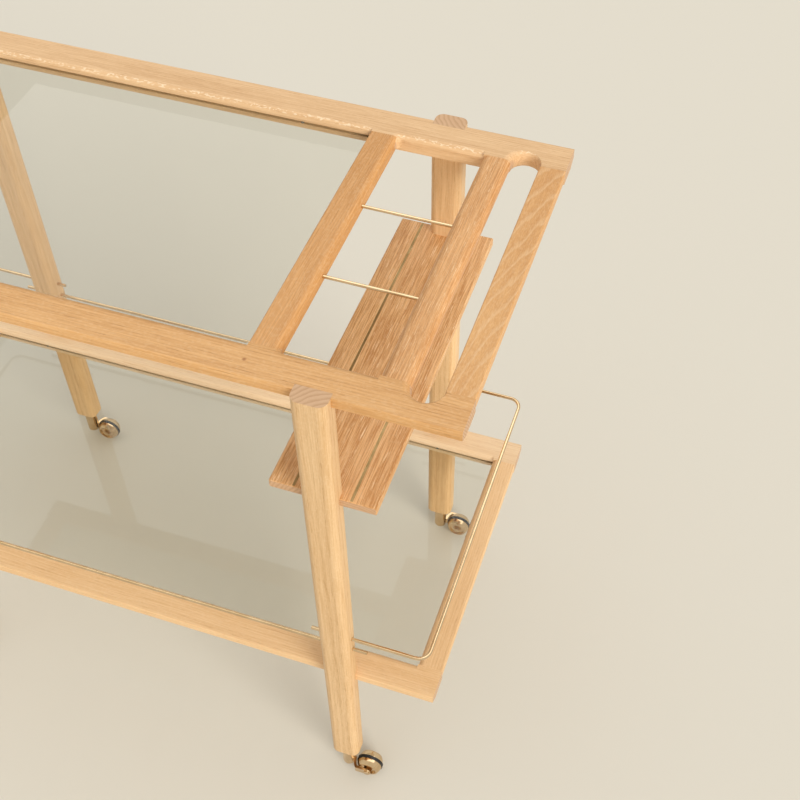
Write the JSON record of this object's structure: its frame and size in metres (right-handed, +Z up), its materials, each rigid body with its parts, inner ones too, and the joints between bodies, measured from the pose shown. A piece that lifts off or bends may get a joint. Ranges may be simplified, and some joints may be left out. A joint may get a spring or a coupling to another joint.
{
  "type": "bar cart",
  "caption": "Oak bar cart on swivel casters, with a glass top, a lower glass shelf railed by brass rods, and bottle places over a narrow shelf beside the handle.",
  "frame": {"origin": "on the floor, under the middle of the cart", "axes": "+Z up, +X towards the handle end, -Y towards the front"},
  "size_m": [0.98, 0.485, 0.862],
  "materials": {
    "oak": "satin, straight grain along each piece",
    "shelf_oak": "satin, open grain along the board",
    "dowel_beech": "plain",
    "brass": "polished",
    "glass": "clear, eased edges",
    "clear_pad": "clear, soft",
    "rubber": "matte black"
  },
  "bodies": {
    "cart": {"bottle_rods": "brass", "bottle_shelf": "shelf_oak", "bottom_end_rail_left": "oak", "bottom_end_rail_right": "oak", "bottom_frame_dowels": "dowel_beech", "bottom_glass": "glass", "bottom_glass_pads": "clear_pad", "bottom_rail_back": "oak", "bottom_rail_front": "oak", "caster_socket_back_left": "brass", "caster_socket_back_right": "brass", "caster_socket_front_left": "brass", "caster_socket_front_right": "brass", "divider_bar": "oak", "gallery_rail_left": "brass", "gallery_rail_right": "brass", "handle_bar": "oak", "leg_back_left": "oak", "leg_back_right": "oak", "leg_dowels": "dowel_beech", "leg_front_left": "oak", "leg_front_right": "oak", "shelf_inlays": "brass", "side_rod_back": "brass", "side_rod_front": "brass", "top_end_rail_left": "oak", "top_end_rail_right": "oak", "top_frame_dowels": "dowel_beech", "top_glass": "glass", "top_glass_pads": "clear_pad", "top_rail_back": "oak", "top_rail_front": "oak"},
    "caster_front_left": {"caster_fork_front_left": "brass", "caster_axle_front_left": "brass"},
    "wheel_front_left": {"wheel_rims_front_left": "brass", "tyre_front_left": "rubber"},
    "caster_front_right": {"caster_fork_front_right": "brass", "caster_axle_front_right": "brass"},
    "wheel_front_right": {"wheel_rims_front_right": "brass", "tyre_front_right": "rubber"},
    "caster_back_left": {"caster_fork_back_left": "brass", "caster_axle_back_left": "brass"},
    "wheel_back_left": {"wheel_rims_back_left": "brass", "tyre_back_left": "rubber"},
    "caster_back_right": {"caster_fork_back_right": "brass", "caster_axle_back_right": "brass"},
    "wheel_back_right": {"wheel_rims_back_right": "brass", "tyre_back_right": "rubber"}
  },
  "joints": [
    {"name": "swivel_front_left", "type": "hinge", "parent": "cart", "child": "caster_front_left", "pos_m": [-0.336, -0.224, 0.058], "axis": [0, 0, 1], "continuous": true},
    {"name": "spin_front_left", "type": "hinge", "parent": "caster_front_left", "child": "wheel_front_left", "pos_m": [-0.303, -0.224, 0.0195], "axis": [0, 1, 0], "continuous": true},
    {"name": "swivel_front_right", "type": "hinge", "parent": "cart", "child": "caster_front_right", "pos_m": [0.336, -0.224, 0.058], "axis": [0, 0, 1], "continuous": true},
    {"name": "spin_front_right", "type": "hinge", "parent": "caster_front_right", "child": "wheel_front_right", "pos_m": [0.369, -0.224, 0.0195], "axis": [0, 1, 0], "continuous": true},
    {"name": "swivel_back_left", "type": "hinge", "parent": "cart", "child": "caster_back_left", "pos_m": [-0.336, 0.224, 0.058], "axis": [0, 0, 1], "continuous": true},
    {"name": "spin_back_left", "type": "hinge", "parent": "caster_back_left", "child": "wheel_back_left", "pos_m": [-0.303, 0.224, 0.0195], "axis": [0, 1, 0], "continuous": true},
    {"name": "swivel_back_right", "type": "hinge", "parent": "cart", "child": "caster_back_right", "pos_m": [0.336, 0.224, 0.058], "axis": [0, 0, 1], "continuous": true},
    {"name": "spin_back_right", "type": "hinge", "parent": "caster_back_right", "child": "wheel_back_right", "pos_m": [0.369, 0.224, 0.0195], "axis": [0, 1, 0], "continuous": true}
  ]
}
